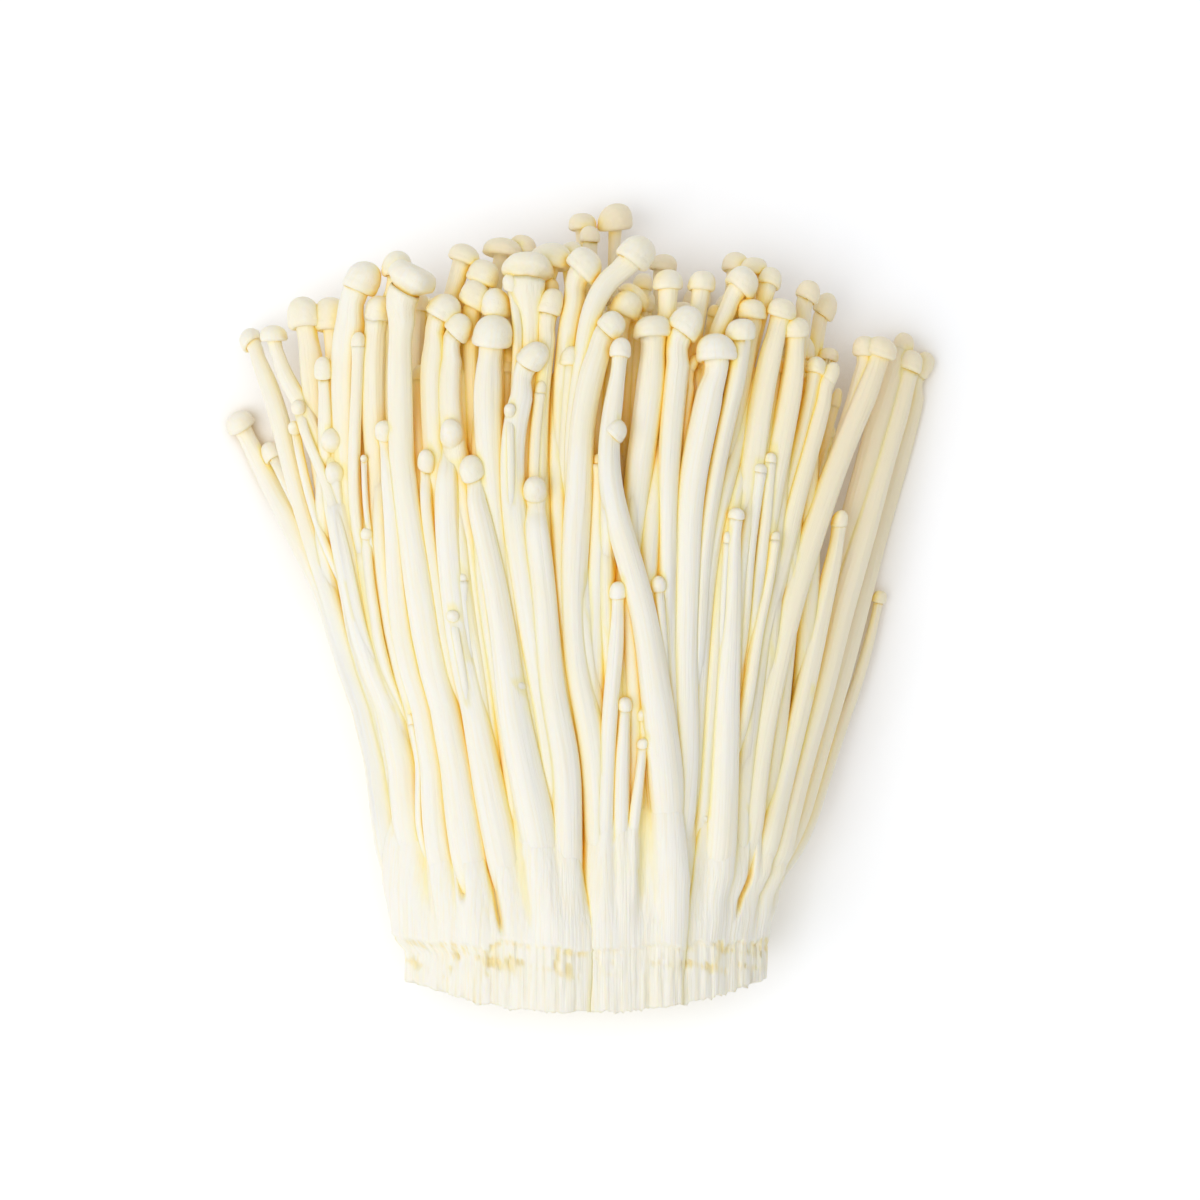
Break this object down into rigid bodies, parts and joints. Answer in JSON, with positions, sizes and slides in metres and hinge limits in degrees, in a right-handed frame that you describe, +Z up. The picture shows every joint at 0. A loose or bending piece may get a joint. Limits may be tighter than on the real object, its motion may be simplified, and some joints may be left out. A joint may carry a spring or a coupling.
{
  "type": "enoki mushroom bunch",
  "caption": "Bunch of long-stemmed enoki mushrooms with small domed caps, fused at a cut root block, lying on its side.",
  "frame": {"origin": "on the surface it lies on, under the middle of the bunch's bounding box", "axes": "+Z up from the surface, +Y along the stems from the cut root end to the caps, +X across the fan of stems"},
  "size_m": [0.1184, 0.13, 0.0348],
  "materials": {
    "enoki": "moist satin mushroom flesh, ivory white, honey cream in the gaps between stems"
  },
  "bodies": {
    "root": {"tuft_left": "enoki", "tuft_middle": "enoki", "tuft_right": "enoki"}
  },
  "joints": []
}
